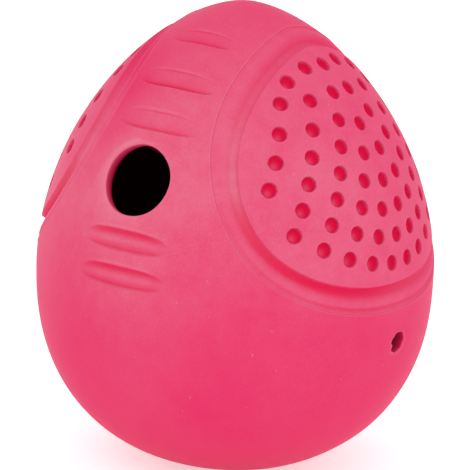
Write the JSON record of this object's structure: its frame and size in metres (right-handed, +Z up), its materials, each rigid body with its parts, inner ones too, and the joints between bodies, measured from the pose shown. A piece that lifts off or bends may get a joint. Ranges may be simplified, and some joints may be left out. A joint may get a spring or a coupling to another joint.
{
  "type": "treat dispensing toy",
  "caption": "Hollow rubber egg that lets treats fall from a round side hole as it rocks, with grip ribs, dimpled side panels and a weighted base that rights it.",
  "frame": {"origin": "centre of the small flat foot at the bottom of the egg", "axes": "+Z up along the egg's axis; the treat hole faces -Y; the dimpled panels face +X and -X; the air hole is on +X"},
  "size_m": [0.0932, 0.0932, 0.11],
  "materials": {
    "body_rubber": "matt pink natural rubber with a faint pale bloom",
    "panel_rubber": "matt pink natural rubber with a faint pale bloom",
    "cover_rubber": "matt pink natural rubber",
    "weight_steel": "plain turned steel"
  },
  "bodies": {
    "root": {"egg_body": "body_rubber", "right_panel": "panel_rubber", "left_panel": "panel_rubber", "base_weight": "weight_steel", "weight_cover": "cover_rubber"}
  },
  "joints": []
}
